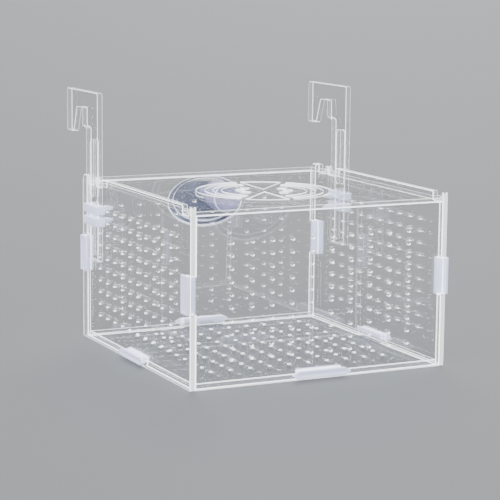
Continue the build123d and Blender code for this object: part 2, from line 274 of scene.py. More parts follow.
def choose(piece, kind, test):
    """In edit mode, select only the vertices, edges or faces that pass the test."""
    bpy.ops.mesh.select_mode(type=kind)
    bpy.ops.mesh.select_all(action="DESELECT")
    mesh = bmesh.from_edit_mesh(piece.data)
    for item in {"VERT": mesh.verts, "EDGE": mesh.edges, "FACE": mesh.faces}[kind]:
        if test(item):
            item.select_set(True)
    bmesh.update_edit_mesh(piece.data)


def middle_of(item):
    """The middle of an edge or a face."""
    return sum((v.co for v in item.verts), Vector()) / len(item.verts)


def along(edge, axis):
    """True for an edge that runs along x (0), y (1) or z (2)."""
    way = edge.verts[1].co - edge.verts[0].co
    return abs(way[axis]) > SQUARE * way.length


def slice_across(piece, axis, *places):
    """Cut new edges round the piece, square to an axis, without parting it."""
    pick(piece)
    bpy.ops.object.mode_set(mode="EDIT")
    for place in places:
        point, normal = Vector(), Vector()
        point[axis], normal[axis] = place, 1
        bpy.ops.mesh.select_all(action="SELECT")
        bpy.ops.mesh.bisect(plane_co=point, plane_no=normal)
    bpy.ops.object.mode_set(mode="OBJECT")


def pull(piece, test, move):
    """Extrude the faces that pass the test."""
    pick(piece)
    bpy.ops.object.mode_set(mode="EDIT")
    choose(piece, "FACE", test)
    bpy.ops.mesh.extrude_region_move(TRANSFORM_OT_translate={"value": move})
    bpy.ops.object.mode_set(mode="OBJECT")


def shift(piece, test, move):
    """Move the vertices that pass the test."""
    pick(piece)
    bpy.ops.object.mode_set(mode="EDIT")
    choose(piece, "VERT", test)
    bpy.ops.transform.translate(value=move)
    bpy.ops.object.mode_set(mode="OBJECT")


def tidy_mesh(piece):
    """Join doubled points, clear edges inside flat faces and turn the faces outwards."""
    pick(piece)
    bpy.ops.object.mode_set(mode="EDIT")
    bpy.ops.mesh.select_mode(type="VERT")
    bpy.ops.mesh.select_all(action="SELECT")
    bpy.ops.mesh.remove_doubles(threshold=WELD)
    bpy.ops.mesh.dissolve_limited(angle_limit=FLAT)
    bpy.ops.mesh.select_all(action="SELECT")
    bpy.ops.mesh.normals_make_consistent(inside=False)
    bpy.ops.object.mode_set(mode="OBJECT")


def round_edges(piece, test, radius, segments):
    """Round the edges that pass the test."""
    pick(piece)
    bpy.ops.object.mode_set(mode="EDIT")
    choose(piece, "EDGE", test)
    bpy.ops.mesh.bevel(offset=radius, segments=segments, affect="EDGES")
    bpy.ops.object.mode_set(mode="OBJECT")


def soften(piece, width, segments=1, angle=radians(40)):
    """Chamfer or round every sharp edge."""
    pick(piece)
    bpy.ops.object.modifier_add(type="BEVEL")
    bevel = piece.modifiers[-1]
    bevel.width = width
    bevel.segments = segments
    bevel.limit_method = "ANGLE"
    bevel.angle_limit = angle
    bpy.ops.object.modifier_apply(modifier=bevel.name)


def combine(piece, other, operation):
    """Cut the other piece away, or join it on, and remove it."""
    pick(piece)
    bpy.ops.object.modifier_add(type="BOOLEAN")
    joint = piece.modifiers[-1]
    joint.operation = operation
    joint.solver = "EXACT"
    joint.object = other
    bpy.ops.object.modifier_apply(modifier=joint.name)
    bpy.data.objects.remove(other)


def repeat(piece, step, count):
    """Set copies of a cutter in a row."""
    pick(piece)
    bpy.ops.object.modifier_add(type="ARRAY")
    row = piece.modifiers[-1]
    row.count = count
    row.use_relative_offset = False
    row.use_constant_offset = True
    row.constant_offset_displace = step
    bpy.ops.object.modifier_apply(modifier=row.name)


def turned(name, rings, sides):
    """A turned solid about +z: a filled circle extruded and resized through rings of (radius, height)."""
    (radius, height), *rest = rings
    bpy.ops.object.select_all(action="DESELECT")
    bpy.ops.mesh.primitive_circle_add(vertices=sides, radius=radius, fill_type="NGON", location=(0, 0, height))
    piece = settle(bpy.context.object)
    piece.name = name
    bpy.ops.object.mode_set(mode="EDIT")
    bpy.ops.mesh.select_all(action="SELECT")
    for next_radius, next_height in rest:
        bpy.ops.mesh.extrude_region_move(TRANSFORM_OT_translate={"value": (0, 0, next_height - height)})
        share = next_radius / radius
        bpy.ops.transform.resize(value=(share, share, 1), center_override=(0, 0, next_height))
        radius, height = next_radius, next_height
    bpy.ops.mesh.select_all(action="SELECT")
    bpy.ops.mesh.normals_make_consistent(inside=False)
    bpy.ops.object.mode_set(mode="OBJECT")
    return piece


def arc_rings(start, end, radius, bulge, steps):
    """Rings along an arc from start to end, bulging towards +1 or -1 off the line between them."""
    (r0, h0), (r1, h1) = start, end
    chord = Vector((r1 - r0, h1 - h0))
    off = Vector((chord.y, -chord.x)).normalized() * bulge
    half = asin(chord.length / 2 / radius)
    centre = Vector(start) + chord / 2 - off * radius * cos(half)
    rings = []
    for step in range(steps + 1):
        angle = half * (2 * step / steps - 1)
        point = centre + radius * (off * cos(angle) + chord.normalized() * sin(angle))
        rings.append((point.x, point.y))
    return rings


def twin(piece, name, place):
    """A copy with its own mesh, set down by a matrix."""
    copy = piece.copy()
    copy.data = piece.data.copy()
    copy.name = name
    bpy.context.collection.objects.link(copy)
    copy.matrix_world = place
    return settle(copy)


def smooth(piece, angle=radians(35)):
    """Smooth shading, with the sharp edges kept."""
    pick(piece)
    bpy.ops.object.shade_smooth_by_angle(angle=angle)


# ---------------------------------------------------------------- finishes
def blank_material(name, colour):
    """A new material with its shader and its tree."""
    material = bpy.data.materials.new(name)
    material.use_nodes = True
    tree = material.node_tree
    shader = tree.nodes["Principled BSDF"]
    shader.inputs["Base Color"].default_value = (*colour, 1)
    return material, tree, shader


def object_noise(tree, scale, detail, stretch=(1, 1, 1)):
    """Noise on the object's own coordinates."""
    place = tree.nodes.new("ShaderNodeTexCoord")
    mapping = tree.nodes.new("ShaderNodeMapping")
    mapping.inputs["Scale"].default_value = stretch
    noise = tree.nodes.new("ShaderNodeTexNoise")
    noise.inputs["Scale"].default_value = scale
    noise.inputs["Detail"].default_value = detail
    tree.links.new(place.outputs["Object"], mapping.inputs["Vector"])
    tree.links.new(mapping.outputs["Vector"], noise.inputs["Vector"])
    return noise.outputs["Fac"]


def spread(tree, source, low, high, out_low, out_high):
    """Map a stretch of a value to another."""
    node = tree.nodes.new("ShaderNodeMapRange")
    values = {"From Min": low, "From Max": high, "To Min": out_low, "To Max": out_high}
    for socket, value in values.items():
        node.inputs[socket].default_value = value
    tree.links.new(source, node.inputs["Value"])
    return node.outputs["Result"]


def blend_colours(tree, share, first, second):
    """Mix two colours by a value."""
    node = tree.nodes.new("ShaderNodeMix")
    node.data_type = "RGBA"
    node.inputs["A"].default_value = (*first, 1)
    node.inputs["B"].default_value = (*second, 1)
    tree.links.new(share, node.inputs["Factor"])
    return node.outputs["Result"]


def bump(tree, shader, source, strength, distance):
    """Raise a fine relief from a value."""
    node = tree.nodes.new("ShaderNodeBump")
    node.inputs["Strength"].default_value = strength
    node.inputs["Distance"].default_value = distance
    tree.links.new(source, node.inputs["Height"])
    tree.links.new(node.outputs["Normal"], shader.inputs["Normal"])


def let_light_through(tree, shader, tint):
    """Lamps shine through the material, so that what stands behind clear sheets isn't in deep shade."""
    path = tree.nodes.new("ShaderNodeLightPath")
    window = tree.nodes.new("ShaderNodeBsdfTransparent")
    window.inputs["Color"].default_value = (*tint, 1)
    mix = tree.nodes.new("ShaderNodeMixShader")
    tree.links.new(path.outputs["Is Shadow Ray"], mix.inputs["Fac"])
    tree.links.new(shader.outputs["BSDF"], mix.inputs[1])
    tree.links.new(window.outputs["BSDF"], mix.inputs[2])
    tree.links.new(mix.outputs["Shader"], tree.nodes["Material Output"].inputs["Surface"])


def polished_acrylic():
    """Clear cast sheet, with faint smears from handling."""
    material, tree, shader = blank_material("polished_acrylic", (0.965, 0.98, 1.0))
    shader.inputs["Transmission Weight"].default_value = 1.0
    shader.inputs["IOR"].default_value = 1.49
    shader.inputs["Alpha"].default_value = 0.1
    smears = object_noise(tree, 40, 4, (1, 1, 0.4))
    tree.links.new(spread(tree, smears, 0.45, 0.75, 0.0, 0.07), shader.inputs["Roughness"])
    bump(tree, shader, object_noise(tree, 22, 2), 0.015, 0.05 * MM)
    let_light_through(tree, shader, (0.94, 0.96, 0.98))
    return material


def cut_face():
    """Flat cut faces: nearly clear, with a faint frost left by the saw."""
    material, tree, shader = blank_material("cut_face", (0.95, 0.97, 1.0))
    shader.inputs["Transmission Weight"].default_value = 0.5
    shader.inputs["IOR"].default_value = 1.49
    shader.inputs["Alpha"].default_value = 0.24
    streaks = object_noise(tree, 700, 3, (1, 1, 0.2))
    tree.links.new(spread(tree, streaks, 0.3, 0.7, 0.2, 0.45), shader.inputs["Roughness"])
    bump(tree, shader, streaks, 0.2, 0.05 * MM)
    let_light_through(tree, shader, (0.9, 0.93, 0.96))
    return material


def frosted_glowing_edge(name, glow):
    """Matt white cut faces with a painted glow by emission, standing in for the light that runs inside the sheet and
    comes out there.
    """
    material, tree, shader = blank_material(name, (0.97, 0.98, 1.0))
    shader.inputs["Transmission Weight"].default_value = 0.1
    shader.inputs["IOR"].default_value = 1.49
    shader.inputs["Emission Color"].default_value = (0.95, 0.98, 1.0, 1)
    shader.inputs["Emission Strength"].default_value = glow
    streaks = object_noise(tree, 900, 3, (1, 1, 0.15))
    tree.links.new(blend_colours(tree, streaks, (0.93, 0.95, 0.98), (1.0, 1.0, 1.0)), shader.inputs["Base Color"])
    tree.links.new(spread(tree, streaks, 0.3, 0.7, 0.35, 0.6), shader.inputs["Roughness"])
    bump(tree, shader, streaks, 0.25, 0.05 * MM)
    return material


def milky_silicone(name, dark, light, glow):
    """Soft translucent rubber, clouded between two tones, with a painted glow by emission standing in for the light
    that it gathers.
    """
    material, tree, shader = blank_material(name, light)
    shader.inputs["Transmission Weight"].default_value = 0.05
    shader.inputs["IOR"].default_value = 1.41
    shader.inputs["Subsurface Weight"].default_value = 0.3
    shader.inputs["Subsurface Radius"].default_value = (1.0, 1.0, 1.0)
    shader.inputs["Subsurface Scale"].default_value = 1.2 * MM
    shader.inputs["Emission Color"].default_value = (*light, 1)
    shader.inputs["Emission Strength"].default_value = glow
    clouds = object_noise(tree, 260, 4)
    tree.links.new(blend_colours(tree, clouds, dark, light), shader.inputs["Base Color"])
    tree.links.new(spread(tree, clouds, 0.3, 0.7, 0.32, 0.48), shader.inputs["Roughness"])
    bump(tree, shader, object_noise(tree, 1400, 2), 0.12, 0.04 * MM)
    return material


def soft_vinyl():
    """Clear soft plastic of the suction cup, with a cool tint."""
    material, tree, shader = blank_material("soft_vinyl", (0.09, 0.11, 0.20))
    shader.inputs["Transmission Weight"].default_value = 0.45
    shader.inputs["IOR"].default_value = 1.5
    clouds = object_noise(tree, 120, 3)
    tree.links.new(spread(tree, clouds, 0.35, 0.75, 0.04, 0.2), shader.inputs["Roughness"])
    bump(tree, shader, object_noise(tree, 90, 2), 0.08, 0.1 * MM)
    let_light_through(tree, shader, (0.78, 0.82, 0.9))
    return material


ACRYLIC = polished_acrylic()
EDGE = frosted_glowing_edge("frosted_glowing_edge", 2.4)  # painted glow on the arrises and the rings of the flow holes
GLOWING_SAWN_END = frosted_glowing_edge("sawn_glowing_end", 0.8)  # upright front ends of the side sheets, with a weaker painted glow
CUT = cut_face()
# keys and bands glow with painted light by emission, the plug faintly
SILICONE = milky_silicone("milky_silicone", (0.56, 0.61, 0.92), (0.80, 0.85, 1.0), 0.7)
PLUG_SILICONE = milky_silicone("plug_silicone", (0.28, 0.27, 0.52), (0.42, 0.40, 0.70), 0.12)
VINYL = soft_vinyl()
# painted highlight lines, lighter and glowing by emission, for the rims of the cup and the knob
RIM_HIGHLIGHT = milky_silicone("vinyl_rim_painted_highlight", (0.72, 0.76, 0.95), (0.88, 0.90, 1.0), 0.9)


POLISHED, BRIGHT, CLEAR_CUT, SAWN = 0, 1, 2, 3  # a sheet's material slots; the second and the fourth glow with painted light


def lay_finishes(piece):
    """Give a sheet or a cutter the sheet's finishes."""
    for finish in (ACRYLIC, EDGE, CUT, GLOWING_SAWN_END):
        piece.data.materials.append(finish)


def finish_sheet(piece, thin_axis, node, body):
    """Polished faces, arrises with a painted glow and clear cut faces, and the piece rides in place of its CAD node.
    """
    for face in piece.data.polygons:
        lean = abs(face.normal[thin_axis])
        if face.material_index == POLISHED and lean < POLISHED_LEAN:
            face.material_index = BRIGHT if lean > ARRIS_LEAN else CLEAR_CUT
    smooth(piece)
    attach(piece, body)
    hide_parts(node)


def finish_soft(piece, material, node, body):
    """A soft piece in one material, in place of its CAD node."""
    piece.data.materials.clear()
    piece.data.materials.append(material)
    smooth(piece)
    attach(piece, body)
    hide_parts(node)


# ---------------------------------------------------------------- box sheets
def drill_grid(piece, middle, thin_axis, outside, pitch, keep_off=None):
    """Drill the square grid of flow holes, less those round the plug's bore, each with a painted glint: a glowing
    outer ring, in upright sheets only on its lower wall that faces up.
    """
    across, up = [axis for axis in (0, 1, 2) if axis != thin_axis]
    first = Vector(middle)
    first[across] -= (HOLE_COUNT - 1) / 2 * pitch[0]
    first[up] -= (HOLE_COUNT - 1) / 2 * pitch[1]
    bits = rod("bits", first, HOLE / 2, 3 * SHEET, "xyz"[thin_axis], HOLE_SIDES)
    ring = FLOOR_RING if thin_axis == 2 else GLINT_RING
    ring_end = middle[thin_axis] + outside * (SHEET / 2 - ring)
    slice_across(bits, thin_axis, ring_end)
    lay_finishes(bits)
    for face in bits.data.polygons:
        in_ring = (face.center[thin_axis] - ring_end) * outside > 0
        # painted glint: in upright sheets only the part of the ring that faces up glows, as if lit from above
        painted_glint_side = thin_axis == 2 or face.normal.z < -GLINT_LEAN
        face.material_index = BRIGHT if in_ring and painted_glint_side else CLEAR_CUT
    for axis, step in ((across, pitch[0]), (up, pitch[1])):
        way = Vector()
        way[axis] = step
        repeat(bits, way, HOLE_COUNT)
    if keep_off:
        centre, radius = keep_off
        bpy.ops.object.mode_set(mode="EDIT")
        choose(bits, "VERT", lambda v: Vector((v.co.x - centre.x, v.co.z - centre.z)).length < radius - HOLE / 2)
        bpy.ops.mesh.select_linked()
        bpy.ops.mesh.delete(type="VERT")
        bpy.ops.object.mode_set(mode="OBJECT")
    combine(piece, bits, "DIFFERENCE")


def wall(name, node, low, high):
    """A front or back sheet with a tenon on each upright edge."""
    piece = block(name, (-INNER_X + SEAM, low.y, low.z), (INNER_X - SEAM, high.y, high.z - SEAM))
    lay_finishes(piece)
    slice_across(piece, 2, TENON_LOW + SEAM, TENON_HIGH - SEAM)
    for side in (-1, 1):
        pull(
            piece,
            lambda f: f.normal.x * side > FACING and TENON_LOW < middle_of(f).z < TENON_HIGH,
            (side * (SHEET + SEAM), 0, 0),
        )
    foot = FLOOR_TENON / 2 + SEAM
    combine(piece, block("foot", (-foot, low.y - SHEET, -NOTCH), (foot, high.y + SHEET, NOTCH)), "DIFFERENCE")
    tidy_mesh(piece)
    soften(piece, ARRIS)
    middle = Vector((0, (low.y + high.y) / 2, WALL_TOP / 2))
    if node == "back_panel":
        drill_grid(piece, middle, 1, 1, (PITCH_X, PITCH_Z), (PLUG, KNOB_RADIUS + HOLE / 2))
        bore = Vector((PLUG.x, middle.y, PLUG.z))
        combine(piece, rod("bore", bore, PLUG_BORE / 2, 3 * SHEET, "y", BORE_SIDES), "DIFFERENCE")
    else:
        drill_grid(piece, middle, 1, -1, (PITCH_X, PITCH_Z))
    finish_sheet(piece, 1, node, "box")


def side_sheet(name, node, side):
    """A side sheet with notches for the lid's ears, the tenons and the keys."""
    low = Vector((min(side * INNER_X, side * HALF_WIDTH), -HALF_DEPTH, 0))
    high = Vector((max(side * INNER_X, side * HALF_WIDTH), HALF_DEPTH, SIDE_TOP))
    piece = block(name, low, high)
    lay_finishes(piece)
    for place in EAR_PLACES:
        slot = block(
            "ear_slot",
            (low.x - SHEET, place - EAR_NOTCH / 2, EAR_NOTCH_FOOT),
            (high.x + SHEET, place + EAR_NOTCH / 2, SIDE_TOP + SHEET),
        )
        round_edges(slot, lambda e: along(e, 0) and middle_of(e).z < SIDE_TOP, EAR_NOTCH_ROUND, 4)
        combine(piece, slot, "DIFFERENCE")
    for end in (-1, 1):
        edge = end * HALF_DEPTH
        reach = edge - end * NOTCH
        gap = block(
            "key_slot",
            (low.x - SHEET, min(edge + end * SHEET, reach), TENON_LOW),
            (high.x + SHEET, max(edge + end * SHEET, reach), TENON_HIGH),
        )
        combine(piece, gap, "DIFFERENCE")
    foot = FLOOR_TENON / 2
    combine(piece, block("foot", (low.x - SHEET, -foot, -NOTCH), (high.x + SHEET, foot, NOTCH)), "DIFFERENCE")
    tidy_mesh(piece)

    def top_corner(edge, on_tab):
        """True for a top corner of the posts, or of the tab behind them."""
        middle = middle_of(edge)
        behind = middle.y > HALF_DEPTH - 2 * TAB_ROUND
        return along(edge, 0) and middle.z > SIDE_TOP - POST_ROUND and behind == on_tab

    for on_tab, radius, segments in ((False, POST_ROUND, 3), (True, TAB_ROUND, 6)):
        round_edges(piece, lambda e: top_corner(e, on_tab), radius, segments)
    soften(piece, ARRIS)
    middle = Vector(((low.x + high.x) / 2, 0, SIDE_TOP / 2))
    # the front ends of the side sheet take the sawn finish with its painted glow
    for face in piece.data.polygons:
        if face.normal.y < -SQUARE and face.center.y < -HALF_DEPTH + ARRIS:
            face.material_index = SAWN
    drill_grid(piece, middle, 0, side, (PITCH_Y, PITCH_Z))
    finish_sheet(piece, 0, node, "box")


def bottom_sheet():
    """The bottom sheet, with a tenon in each wall."""
    inner_x, inner_y, half = INNER_X - SEAM, INNER_Y - SEAM, FLOOR_TENON / 2 - SEAM
    piece = block("bottom_sheet", (-inner_x, -inner_y, 0), (inner_x, inner_y, SHEET))
    lay_finishes(piece)
    slice_across(piece, 0, -half, half)
    slice_across(piece, 1, -half, half)
    for axis, reach in ((0, HALF_WIDTH - inner_x), (1, HALF_DEPTH - inner_y)):
        for side in (-1, 1):
            move = Vector()
            move[axis] = side * reach
            pull(
                piece,
                lambda f: f.normal[axis] * side > FACING and abs(middle_of(f)[1 - axis]) < half,
                move,
            )
    tidy_mesh(piece)
    soften(piece, ARRIS)
    drill_grid(piece, (0, 0, SHEET / 2), 2, 1, (PITCH_X, PITCH_Y))
    finish_sheet(piece, 2, "bottom_panel", "box")


# ---------------------------------------------------------------- lid
def disc(name, radius):
    """A round cutter through the lid at the rosette."""
    middle = ROSETTE + Vector((0, 0, (LID_LOW.z + LID_HIGH.z) / 2))
    return rod(name, middle, radius, 3 * SHEET, "z", ROSETTE_SIDES)


def rib_sides(angle, offset):
    """A point and the direction across it, for one side of a rib's centre line."""
    across = Vector((-sin(angle), cos(angle), 0))
    return ROSETTE + across * offset, across


def keep_half(piece, point, normal):
    """Cut a piece along a plane and keep what lies on the normal's side."""
    pick(piece)
    bpy.ops.object.mode_set(mode="EDIT")
    bpy.ops.mesh.select_all(action="SELECT")
    bpy.ops.mesh.bisect(plane_co=point, plane_no=normal, use_fill=True, clear_inner=True)
    bpy.ops.object.mode_set(mode="OBJECT")


def lid_sheet():
    """The lid: ears in the side sheets' notches and a rosette of slots for feeding."""
    side = INNER_X - LID_GAP
    low = Vector((-side, LID_LOW.y, LID_LOW.z + SEAM))
    piece = block("lid_sheet", low, (side, LID_HIGH.y, LID_HIGH.z))
    lay_finishes(piece)
    half_ear = EAR_NOTCH / 2 - EAR_GAP
    ears = [(place - half_ear, place + half_ear) for place in EAR_PLACES]
    slice_across(piece, 1, *(end for ear in ears for end in ear))
    for way in (-1, 1):
        for start, end in ears:
            pull(
                piece,
                lambda f: f.normal.x * way > FACING and start < middle_of(f).y < end,
                (way * (HALF_WIDTH - side), 0, 0),
            )
    tidy_mesh(piece)
    low_rib, high_rib = ROSETTE_RIB_ANGLES
    half_rib = ROSETTE_RIB / 2
    for turn in (0, pi):
        wedge = disc("wedge", ROSETTE_RADIUS)
        point, across = rib_sides(low_rib + turn, half_rib)
        keep_half(wedge, point, across)
        point, across = rib_sides(high_rib + turn, -half_rib)
        keep_half(wedge, point, -across)
        combine(piece, wedge, "DIFFERENCE")
        outer = ROSETTE_RADIUS
        while outer - ROSETTE_SLOT > ROSETTE_DOT_REACH + ROSETTE_DOT:
            ring = disc("ring", outer)
            combine(ring, disc("core", outer - ROSETTE_SLOT), "DIFFERENCE")
            point, across = rib_sides(high_rib + turn, half_rib)
            keep_half(ring, point, across)
            point, across = rib_sides(low_rib + turn, half_rib)
            keep_half(ring, point, across)
            combine(piece, ring, "DIFFERENCE")
            outer -= ROSETTE_SLOT + ROSETTE_LAND
        middle_turn = (low_rib + high_rib) / 2 + pi / 2 + turn
        for step in (-1, 0, 1):
            angle = middle_turn + step * ROSETTE_DOT_SPREAD
            place = ROSETTE + ROSETTE_DOT_REACH * Vector((cos(angle), sin(angle), 0))
            place.z = (LID_LOW.z + LID_HIGH.z) / 2
            combine(piece, rod("dot", place, ROSETTE_DOT / 2, 3 * SHEET, "z", DOT_SIDES), "DIFFERENCE")
    tidy_mesh(piece)
    soften(piece, LID_ARRIS, angle=BLUNT)
    glow_foot = LID_HIGH.z - ROSETTE_GLOW
    slice_across(piece, 2, glow_foot)
    finish_sheet(piece, 2, "lid", "lid_body")
    # painted glow on the upper part of the rosette's cut walls; below it they stay clear
    for face in piece.data.polygons:
        off = face.center - ROSETTE
        if face.material_index != POLISHED and Vector((off.x, off.y)).length < ROSETTE_RADIUS + ARRIS:
            face.material_index = BRIGHT if off.z > glow_foot else CLEAR_CUT


# ---------------------------------------------------------------- rim hooks
def hook(name, node, body):
    """A rim hook cut from one sheet: a slotted shaft, a cheek, a roof and a tapered nose."""
    low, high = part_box(node)
    shaft_back = low.y + HOOK_SHAFT
    mouth_front = shaft_back + RIM_INSET
    mouth_back = mouth_front + RIM_GAP
    mouth_top = high.z - RIM_ROOF
    shoulder = high.z - RIM_STEP
    nose_foot = high.z - NOSE_DROP
    piece = block(name, low, (high.x, shaft_back, high.z))
    lay_finishes(piece)
    slice_across(piece, 2, shoulder, mouth_top)
    pull(piece, lambda f: f.normal.y > FACING and middle_of(f).z > shoulder, (0, RIM_INSET, 0))
    pull(piece, lambda f: f.normal.y > FACING and middle_of(f).z > mouth_top, (0, RIM_GAP, 0))
    pull(piece, lambda f: f.normal.y > FACING and middle_of(f).z > mouth_top, (0, high.y - mouth_back, 0))
    pull(piece, lambda f: f.normal.z < -FACING and middle_of(f).y > mouth_back, (0, 0, nose_foot - mouth_top))
    slope = high.y - NOSE_TIP - mouth_back
    shift(piece, lambda v: abs(v.co.y - mouth_back) < NEAR and abs(v.co.z - nose_foot) < NEAR, (0, slope, 0))
    rise = (0, 0, SHOULDER_RISE)
    shift(piece, lambda v: abs(v.co.y - mouth_front) < NEAR and abs(v.co.z - shoulder) < NEAR, rise)
    tidy_mesh(piece)
    round_edges(piece, lambda e: along(e, 0), HOOK_ROUND, 4)
    middle = Vector(((low.x + high.x) / 2, low.y + HOOK_SHAFT / 2, 0))
    for start, end in (UPPER_SLOT, LOWER_SLOT):
        middle.z = start + SLOT_WIDTH / 2
        cutter = rod("slot", middle, SLOT_WIDTH / 2, 3 * SHEET, "x", SLOT_SIDES, pi / SLOT_SIDES)
        shift(cutter, lambda v: v.co.z > middle.z, (0, 0, end - start - SLOT_WIDTH))
        combine(piece, cutter, "DIFFERENCE")
    tidy_mesh(piece)
    soften(piece, ARRIS, angle=BLUNT)
    finish_sheet(piece, 0, node, body)


# ---------------------------------------------------------------- soft keys
def key_prototype(name, length, edge, width, web_length, taper):
    """A key along x, its panel's edge at y = 0 and z off the panel: head, web and inner bead."""
    half = length / 2 - taper
    piece = block(name, (-half, edge, SEAM), (half, edge + width, KEY_HEAD))
    if taper:
        for end in (-1, 1):
            pull(piece, lambda f: f.normal.x * end > FACING, (end * taper, 0, 0))
            tip_middle = (end * length / 2, edge + width / 2, KEY_HEAD / 2)
            bpy.ops.object.mode_set(mode="EDIT")
            choose(piece, "FACE", lambda f: f.normal.x * end > FACING)
            bpy.ops.transform.resize(value=(1, KEY_TIP / width, 1), center_override=tip_middle)
            bpy.ops.object.mode_set(mode="OBJECT")
    pick(piece)
    bpy.ops.object.mode_set(mode="EDIT")
    choose(piece, "FACE", lambda f: f.normal.z > FACING)
    bpy.ops.mesh.inset(thickness=KEY_RIM, depth=0)
    bpy.ops.mesh.inset(thickness=KEY_DISH_SLOPE, depth=-KEY_DISH)
    bpy.ops.object.mode_set(mode="OBJECT")
    web = block("web", (-web_length / 2, SHEET + SEAM, -SHEET - SEAM), (web_length / 2, NOTCH - SEAM, KEY_HEAD / 2))
    pull(web, lambda f: f.normal.z < -FACING, (0, 0, -KEY_BEAD))
    slice_across(web, 2, -SHEET - SEAM)
    pull(web, lambda f: f.normal.y > FACING and middle_of(f).z < -SHEET - SEAM, (0, KEY_LIP, 0))
    combine(piece, web, "UNION")
    tidy_mesh(piece)
    soften(piece, KEY_ROUND, 3, KEY_BLUNT)
    return piece


def soft_keys():
    """The eight keys: four in the lower edges and four in the upright ones."""
    floor_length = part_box("clip_bottom_front")[1].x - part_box("clip_bottom_front")[0].x
    side_length = TENON_HIGH - TENON_LOW
    floor_key = key_prototype("floor_key", floor_length, FLOOR_KEY_EDGE, FLOOR_KEY_WIDTH, FLOOR_TENON, KEY_TAPER)
    side_key = key_prototype("side_key", side_length, SIDE_KEY_EDGE, SIDE_KEY_WIDTH, side_length, 0)
    level = (TENON_LOW + TENON_HIGH) / 2
    places = {
        "clip_bottom_front": (floor_key, (0, -HALF_DEPTH, 0), (1, 0, 0), (0, -1, 0)),
        "clip_bottom_back": (floor_key, (0, HALF_DEPTH, 0), (-1, 0, 0), (0, 1, 0)),
        "clip_bottom_left": (floor_key, (-HALF_WIDTH, 0, 0), (0, -1, 0), (-1, 0, 0)),
        "clip_bottom_right": (floor_key, (HALF_WIDTH, 0, 0), (0, 1, 0), (1, 0, 0)),
        "clip_front_left": (side_key, (-HALF_WIDTH, -HALF_DEPTH, level), (0, 0, 1), (-1, 0, 0)),
        "clip_front_right": (side_key, (HALF_WIDTH, -HALF_DEPTH, level), (0, 0, -1), (1, 0, 0)),
        "clip_back_left": (side_key, (-HALF_WIDTH, HALF_DEPTH, level), (0, 0, -1), (-1, 0, 0)),
        "clip_back_right": (side_key, (HALF_WIDTH, HALF_DEPTH, level), (0, 0, 1), (1, 0, 0)),
    }
    for node, (key, middle, way, off) in places.items():
        way, off = Vector(way), Vector(off)
        turn = Matrix((way, off.cross(way), off)).transposed().to_4x4()
        piece = twin(key, node.replace("clip", "soft_key"), Matrix.Translation(middle) @ turn)
        finish_soft(piece, SILICONE, node, "box")
    for key in (floor_key, side_key):
        bpy.data.objects.remove(key)


# ---------------------------------------------------------------- soft bands
def band(node, side):
    """A soft loop round the hook's shaft, with a peg through the slot into a flow hole."""
    low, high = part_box(node)
    level = (low.z + high.z) / 2
    hook_low, hook_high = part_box("hook_right")
    inner = hook_low.x - BAND_PLAY
    outer = hook_high.x + BAND_PLAY
    middle_y = (low.y + high.y) / 2
    half_y = HOOK_SHAFT / 2 + BAND_PLAY
    piece = block(
        node.replace("band", "soft_band"),
        (HALF_WIDTH + SEAM, middle_y - half_y - BAND_WALL, low.z),
        (outer + BAND_WALL, middle_y + half_y + BAND_WALL, high.z),
    )
    round_edges(piece, lambda e: along(e, 2), BAND_CORNER, 4)
    eye = block("eye", (inner, middle_y - half_y, low.z - SHEET), (outer, middle_y + half_y, high.z + SHEET))
    combine(piece, eye, "DIFFERENCE")
    tidy_mesh(piece)
    soften(piece, BAND_ROUND, 3, BAND_BLUNT)
    peg = turned(
        "peg",
        [
            (PEG / 2, outer + BAND_WALL / 2),
            (PEG / 2, HALF_WIDTH + 2 * SEAM),
            (PEG_NECK / 2, HALF_WIDTH + SEAM),
            (PEG_NECK / 2, INNER_X - SEAM),
            (PEG_HEAD / 2 - PEG_BEVEL / 2, INNER_X - 2 * SEAM),
            (PEG_HEAD / 2, INNER_X - PEG_BEVEL),
            ((PEG_HEAD + PEG_POINT) / 4, INNER_X - PEG_BEND * PEG_REACH),
            (PEG_POINT / 2, INNER_X - PEG_REACH + PEG_BEVEL),
            (PEG_POINT / 4, INNER_X - PEG_REACH),
        ],
        PEG_SIDES,
    )
    peg.matrix_world = Matrix.Translation((0, middle_y, level)) @ Matrix.Rotation(pi / 2, 4, "Y")
    settle(peg)
    combine(piece, peg, "UNION")
    if side < 0:
        piece.scale = (-1, 1, 1)
        settle(piece)
    tidy_mesh(piece)
    finish_soft(piece, SILICONE, node, "box")


